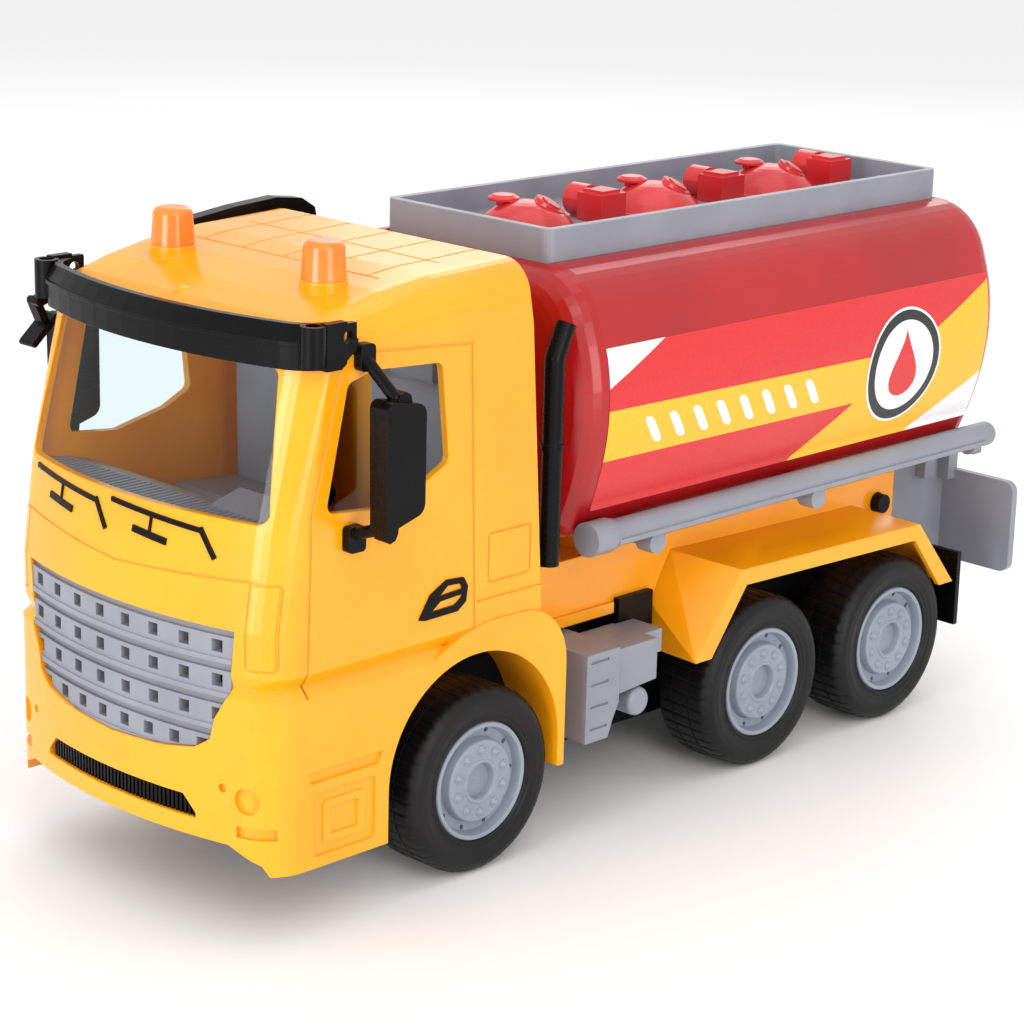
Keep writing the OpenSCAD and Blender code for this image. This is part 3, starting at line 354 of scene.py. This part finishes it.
tyreShape = {  # all in mm, apart from counts, shares and the angle
    "outerRadius": 22.48, "width": 18.0, "beadRadius": 14.32, "shoulder": 3.2,
    "lugs": 44, "stepsPerLug": 8, "grooveSteps": 2, "grooveDepth": 0.32, "grooveLean": 0.35,
    "laneDepth": 0.3, "laneWidth": 0.5, "lanes": (6.4, 11.6),
    "laneShare": 0.8, "laneTaper": 0.7, "cornerSteps": 6, "plainSteps": 2,
    "ringRadius": 18.3, "ringHeight": 0.16, "ringWidth": 0.7, "ringSlope": 0.4, "ringFoot": 0.3,
    "bandRadius": 15.6, "bandDepth": 0.2, "bandHalf": 0.2, "bandSlope": 0.3,
    "lipWidth": 0.5, "lipDepth": 0.7, "faceStep": 0.04,
    "backRadius": 17.5, "backStep": 0.05, "backInset": 0.1, "backLip": 1.1,
    "edgeAngle": 30,
}


def tyreProfile(shape):
    # Points of (radius, depth from the outer face, share of the cross grooves) in mm, bead to bead
    outer = shape["outerRadius"]
    width = shape["width"]
    bead = shape["beadRadius"]
    corner = shape["shoulder"]
    steps = shape["cornerSteps"]
    fade = steps - shape["plainSteps"]  # the cross grooves fade out round the shoulder
    points = [(bead, width - shape["backLip"], 0), (bead + 1, width - shape["backInset"], 0),
              (shape["backRadius"], width - shape["backStep"], 0)]
    for i in range(steps + 1):
        turn = radians(90 * i / steps)
        share = max(0, i - shape["plainSteps"]) / fade
        points.append((outer - corner + corner * sin(turn), width - corner + corner * cos(turn), share))
    for lane in reversed(shape["lanes"]):
        half = shape["laneWidth"] / 2
        foot = half * shape["laneTaper"]
        points.append((outer, lane + half, shape["laneShare"]))
        points.append((outer - shape["laneDepth"], lane + foot, 0))
        points.append((outer - shape["laneDepth"], lane - foot, 0))
        points.append((outer, lane - half, shape["laneShare"]))
    for i in range(steps + 1):
        turn = radians(90 - 90 * i / steps)
        share = max(0, fade - i) / fade
        points.append((outer - corner + corner * sin(turn), corner - corner * cos(turn), share))
    ring = shape["ringRadius"]
    band = shape["bandRadius"]
    low = shape["ringHeight"]
    inner = ring - shape["ringWidth"]
    half = shape["bandHalf"]
    wide = half + shape["bandSlope"]
    deep = low + shape["bandDepth"]
    wall = [(ring + shape["ringSlope"], low * shape["ringFoot"]), (ring, 0), (inner, 0),
            (inner - shape["ringSlope"], low), (band + wide, low), (band + half, deep),
            (band - half, deep), (band - wide, low), (bead + shape["lipWidth"], low),
            (bead, shape["lipDepth"])]
    for radius, depth in wall:
        points.append((radius, depth + shape["faceStep"], 0))
    return points


def makeTyre(name, centreX, centreZ, faceY, side, shape):
    profile = tyreProfile(shape)
    perLug = shape["stepsPerLug"]
    steps = shape["lugs"] * perLug
    work = bmesh.new()
    rings = []
    for step in range(steps):
        cut = shape["grooveDepth"] if step % perLug < shape["grooveSteps"] else 0
        ring = []
        for radius, depth, share in profile:
            # The cross grooves lean a little across the tread
            slant = shape["grooveLean"] * (depth / shape["width"] - 0.5) * 2 * pi / shape["lugs"]
            angle = 2 * pi * step / steps + slant
            r = (radius - cut * share) * mm
            y = side * (faceY - depth * mm)
            ring.append(work.verts.new((centreX + r * cos(angle), y, centreZ + r * sin(angle))))
        rings.append(ring)
    for here, there in zip(rings, rings[1:] + rings[:1]):
        for i in range(len(profile)):
            j = (i + 1) % len(profile)
            work.faces.new((here[i], here[j], there[j], there[i]))
    bmesh.ops.recalc_face_normals(work, faces=work.faces)
    mesh = bpy.data.meshes.new(name + "Tread")
    work.to_mesh(mesh)
    work.free()
    mesh.materials.append(tyreRubber)
    piece = bpy.data.objects.new(name + "Tread", mesh)
    bpy.context.scene.collection.objects.link(piece)
    smoothByAngle(piece, shape["edgeAngle"])
    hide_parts(name)
    return piece


for axle in ["front", "middle", "rear"]:
    for sideName, side in [("left", 1), ("right", -1)]:
        name = "tyre_" + axle + "_" + sideName
        low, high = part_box(name)
        faceY = max(abs(low.y), abs(high.y))
        tread = makeTyre(name, (low.x + high.x) / 2, (low.z + high.z) / 2, faceY, side, tyreShape)
        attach(tread, axle + "_wheels")
print("tyres made")


labelSpan = {  # all in mm
    "frontX": 28.8, "rearX": -119.4, "topZ": 119.4, "lowZ": 79.8,
    "bandTop": 104.2, "bandLow": 92.4, "bandRise": 0.6, "bandEndDrop": 1.6,
    "bendFront": 10, "bendRear": 13, "bendRise": 3.6,
    "arrowTipX": -65, "arrowLowX": -43.2, "arrowDrop": 0.4,
    "cornerWide": 20.4, "cornerTall": 9.3, "wedgeWide": 28, "wedgeTall": 13,
    "roundelX": -83.8, "roundelZ": 99.4, "roundelR": 15.3, "rimWide": 0.7, "ringWide": 2.6,
}
barShape = {
    "count": 8, "firstX": 12.7, "pitch": 8.46, "middleZ": 98.1, "width": 3.0, "height": 6.9, "lean": 4.7,
    "rounding": 0.42, "steps": 5,
}
dropShape = {"radius": 6.6, "below": 1.6, "neck": 2.2, "tip": 0.75, "tipSharpness": 3, "steps": 28}
layerLift = {  # how far each printed layer stands off the tank, in mm
    "ground": 0.10, "band": 0.14, "mark": 0.17, "rim": 0.20, "ring": 0.23, "field": 0.26, "drop": 0.29,
}
tankForm = {  # repeats the section of the tank: side curve from (y, z) to (y, z) in mm
    "curve": ((43.8, 124), (52, 104), (40.3, 76.4)), "middleZ": 104, "backX": -126, "endR": 8, "steps": 12,
    "firstTurn": 75, "furthest": 1.6, "halfWidth": 40, "bendAt": 1.2,
    "cutLow": 76, "cutTop": 124, "cutStep": 2, "slopeReach": 0.5,
}


def sideAt(form, z):
    # half width of the tank at this height, along the straight facets
    curve = form["curve"]
    count = form["steps"]
    rows = []
    for i in range(1, count):
        t = i / count
        rows.append([(1 - t) ** 2 * a + 2 * t * (1 - t) * b + t * t * c for a, b, c in zip(*curve)])
    for (y0, z0), (y1, z1) in zip(rows, rows[1:]):
        if z1 <= z <= z0:
            return y0 + (y1 - y0) * (z0 - z) / (z0 - z1)
    return rows[0][0] if z > rows[0][1] else rows[-1][0]


def facetHeights(form):
    curve = form["curve"]
    return [(1 - t) ** 2 * curve[0][1] + 2 * t * (1 - t) * curve[1][1] + t * t * curve[2][1]
            for t in [i / form["steps"] for i in range(1, form["steps"])]]


def insetAt(form, x):
    # the rear end draws in towards its rounded edge
    over = form["backX"] + form["endR"] - x
    if over <= 0:
        return 0.0
    turn = radians(form["firstTurn"])
    first = form["endR"] * cos(turn)
    return form["endR"] * (1 - sin(turn)) * min(over / first, form["furthest"])


def makeLabelPart(name, outline, lift, side, material, form):
    # outline is a list of (x, z) in mm; lift is how far it stands off the tank, in mm
    work = bmesh.new()
    work.faces.new([work.verts.new((x, 0, z)) for x, z in outline])
    # Cut into strips that follow the tank's facets, and where its end starts to draw in
    cuts = facetHeights(form) + list(range(form["cutLow"], form["cutTop"], form["cutStep"]))
    for z in cuts:
        geometry = work.verts[:] + work.edges[:] + work.faces[:]
        bmesh.ops.bisect_plane(work, geom=geometry, plane_co=(0, 0, z), plane_no=(0, 0, 1), dist=1e-4)
    bend = form["backX"] + form["endR"]
    for x in (bend, bend - form["bendAt"]):
        geometry = work.verts[:] + work.edges[:] + work.faces[:]
        bmesh.ops.bisect_plane(work, geom=geometry, plane_co=(x, 0, 0), plane_no=(1, 0, 0), dist=1e-4)
    reach = form["slopeReach"]
    for vert in work.verts:
        x = vert.co.x
        z = vert.co.z
        shrink = 1 - insetAt(form, x) / form["halfWidth"]
        slope = (sideAt(form, z + reach) - sideAt(form, z - reach)) / (2 * reach)
        out = Vector((0, 1, -slope)).normalized() * lift
        y = sideAt(form, z) * shrink + out.y
        height = form["middleZ"] + (z - form["middleZ"]) * shrink + out.z
        vert.co = Vector((x * mm, side * y * mm, height * mm))
    bmesh.ops.recalc_face_normals(work, faces=work.faces)
    if work.faces[0].normal.y * side < 0:
        bmesh.ops.reverse_faces(work, faces=work.faces)
    mesh = bpy.data.meshes.new(name)
    work.to_mesh(mesh)
    work.free()
    mesh.materials.append(material)
    for face in mesh.polygons:
        face.use_smooth = True
    piece = bpy.data.objects.new(name, mesh)
    bpy.context.scene.collection.objects.link(piece)
    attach(piece, "chassis")


def ringOutline(x, z, r, steps=48):
    return [(x + r * cos(2 * pi * i / steps), z + r * sin(2 * pi * i / steps)) for i in range(steps)]


def slantedBar(x, bar):
    points = []
    r = bar["width"] * bar["rounding"]
    wide = bar["width"] / 2 - r
    tall = bar["height"] / 2 - r
    for cx, cz, start in ((wide, tall, 0), (-wide, tall, 90), (-wide, -tall, 180), (wide, -tall, 270)):
        for i in range(bar["steps"] + 1):
            turn = radians(start + 90 * i / bar["steps"])
            px = cx + r * cos(turn)
            pz = cz + r * sin(turn)
            points.append((x + px + bar["lean"] * pz / bar["height"], bar["middleZ"] + pz))
    return points


def dropOutline(x, z, drop):
    # plain fuel drop with its tip up
    points = []
    r = drop["radius"]
    for i in range(drop["steps"]):
        turn = 2 * pi * i / drop["steps"]
        pinch = (1 + sin(turn)) / 2
        across = r * cos(turn) * (1 - pinch ** drop["neck"])
        up = r * (sin(turn) + drop["tip"] * pinch ** drop["tipSharpness"])
        points.append((x + across, z - drop["below"] + up))
    return points


filmLook = {"inkMm": 0.6, "sagMm": 26, "rough": (0.3, 0.4)}


def printedFilm(name, colour, shade, look):
    # Gloss-laminated vinyl label: flat even ink, a faint dot texture and a smooth shine
    material, tree = newMaterial(name)
    place = addNode(tree, "TexCoord").outputs["Object"]
    ink = addNode(tree, "TexNoise", {"Scale": perMm(look["inkMm"]), "Detail": 2.0}, {"Vector": place})
    sag = addNode(tree, "TexNoise", {"Scale": perMm(look["sagMm"]), "Detail": 1.0}, {"Vector": place})
    tone = addNode(tree, "MapRange", {"From Min": 0.35, "From Max": 0.65}, {"Value": ink.outputs["Fac"]})
    body = addNode(tree, "Mix", {"data_type": "RGBA", 6: srgb(shade), 7: srgb(colour)},
                   {0: tone.outputs[0]})
    dent = addNode(tree, "Bump", {"Strength": 0.15, "Distance": 0.1 * mm}, {"Height": sag.outputs["Fac"]})
    dull = addNode(tree, "MapRange", {"From Min": 0.3, "From Max": 0.7, "To Min": look["rough"][0],
                                      "To Max": look["rough"][1]}, {"Value": sag.outputs["Fac"]})
    shader = addNode(tree, "BsdfPrincipled", {"IOR": 1.5},
                     {"Base Color": body.outputs[2], "Roughness": dull.outputs[0], "Normal": dent.outputs[0]})
    addNode(tree, "OutputMaterial", None, {"Surface": shader.outputs[0]})
    return material


films = {
    "red": printedFilm("labelVinylRed", "#D4282B", "#CC2226", filmLook),
    "yellow": printedFilm("labelVinylYellow", "#FBB824", "#F6B01C", filmLook),
    "white": printedFilm("labelVinylWhite", "#E9E9EA", "#E0E0E2", filmLook),
    "black": printedFilm("labelVinylBlack", "#232326", "#1C1C1F", filmLook),
}


def makeLabel(sideName, side, span, lift):
    front = span["frontX"]
    rear = span["rearX"]
    top = span["topZ"]
    low = span["lowZ"]
    cx = span["roundelX"]
    cz = span["roundelZ"]
    rim = span["roundelR"]
    ring = rim - span["rimWide"]
    field = ring - span["ringWide"]
    ground = [(front, low), (front, top), (rear, top), (rear, low)]
    band = [(front, span["bandLow"]), (front, span["bandTop"] + span["bandRise"]),
            (cx + span["bendFront"], span["bandTop"] - span["bandRise"]),
            (cx - span["bendRear"], span["bandTop"] + span["bendRise"]),
            (rear, top - span["bandEndDrop"]), (rear, low), (span["arrowLowX"], low),
            (span["arrowTipX"], span["bandLow"] - span["arrowDrop"])]
    corner = [(front, top), (front - span["cornerWide"], top), (front, top - span["cornerTall"])]
    wedge = [(rear, low), (rear + span["wedgeWide"], low), (rear, low + span["wedgeTall"])]
    parts = [
        ("Ground", ground, lift["ground"], "red"),
        ("Band", band, lift["band"], "yellow"),
        ("FrontCorner", corner, lift["band"], "white"),
        ("RearWedge", wedge, lift["mark"], "white"),
        ("RoundelRim", ringOutline(cx, cz, rim), lift["rim"], "white"),
        ("RoundelRing", ringOutline(cx, cz, ring), lift["ring"], "black"),
        ("RoundelField", ringOutline(cx, cz, field), lift["field"], "white"),
        ("RoundelDrop", dropOutline(cx, cz, dropShape), lift["drop"], "red"),
    ]
    for i in range(barShape["count"]):
        x = barShape["firstX"] - barShape["pitch"] * i
        parts.append(("Bar" + str(i + 1), slantedBar(x, barShape), lift["mark"], "white"))
    for partName, outline, height, film in parts:
        makeLabelPart("label" + partName + sideName, outline, height, side, films[film], tankForm)


makeLabel("Left", 1, labelSpan, layerLift)
makeLabel("Right", -1, labelSpan, layerLift)
print("labels laid")


studio = {
    "floorSize": 6.0,
    "floorDrop": 0.05 * mm,  # just below the tyres, so that the two faces don't flicker together
    "floorColour": "#F3F3F3",
    "floorToothMm": 1.5,
    "skyStrength": 0.95,
    "aim": (0, 0, 0.06),
    "key": {"place": (0.65, 1.0, 0.95), "size": 0.7, "watts": 4.6, "colour": "#FFF8EE"},
    "front": {"place": (1.1, 0.1, 0.22), "size": 0.5, "watts": 5.0, "colour": "#FFFFFF"},
    "side": {"place": (0.25, 1.0, 0.22), "size": 0.45, "watts": 2.2, "colour": "#FFFFFF"},
    "top": {"place": (-0.1, 0.05, 1.1), "size": 0.8, "watts": 1.6, "colour": "#FFFFFF"},
    "back": {"place": (-0.8, -0.6, 0.7), "size": 0.6, "watts": 2.0, "colour": "#FFFFFF"},
}


def makeFloor(setup):
    half = setup["floorSize"] / 2
    mesh = bpy.data.meshes.new("studioFloor")
    work = bmesh.new()
    bmesh.ops.create_grid(work, x_segments=4, y_segments=4, size=half)
    work.to_mesh(mesh)
    work.free()
    floor = bpy.data.objects.new("studioFloor", mesh)
    bpy.context.scene.collection.objects.link(floor)
    floor.location.z = -setup["floorDrop"]
    material, tree = newMaterial("paleBoard")
    place = addNode(tree, "TexCoord").outputs["Object"]
    tooth = addNode(tree, "TexNoise", {"Scale": perMm(setup["floorToothMm"]), "Detail": 3.0},
                    {"Vector": place})
    dent = addNode(tree, "Bump", {"Strength": 0.03, "Distance": 0.1 * mm}, {"Height": tooth.outputs["Fac"]})
    shader = addNode(tree, "BsdfPrincipled", {"Base Color": srgb(setup["floorColour"]), "Roughness": 0.6},
                     {"Normal": dent.outputs[0]})
    addNode(tree, "OutputMaterial", None, {"Surface": shader.outputs[0]})
    mesh.materials.append(material)


def makeLight(name, setup, target):
    data = bpy.data.lights.new(name, "AREA")
    data.size = setup["size"]
    data.energy = setup["watts"]
    data.color = srgb(setup["colour"])[:3]
    lamp = bpy.data.objects.new(name, data)
    bpy.context.scene.collection.objects.link(lamp)
    lamp.location = setup["place"]
    aim = Vector(target) - Vector(setup["place"])
    lamp.rotation_euler = aim.to_track_quat("-Z", "Y").to_euler()


def makeSky(strength):
    world = bpy.data.worlds.new("softStudio")
    bpy.context.scene.world = world
    world.use_nodes = True
    tree = world.node_tree
    tree.nodes.clear()
    glow = addNode(tree, "Background", {"Color": srgb("#FFFFFF"), "Strength": strength})
    addNode(tree, "OutputWorld", None, {"Surface": glow.outputs[0]})


makeFloor(studio)
for name in ["key", "front", "side", "top", "back"]:
    makeLight(name + "Softbox", studio[name], studio["aim"])
makeSky(studio["skyStrength"])
bpy.context.scene.view_settings.view_transform = "Standard"
print("studio lit")


low, high = cadBox
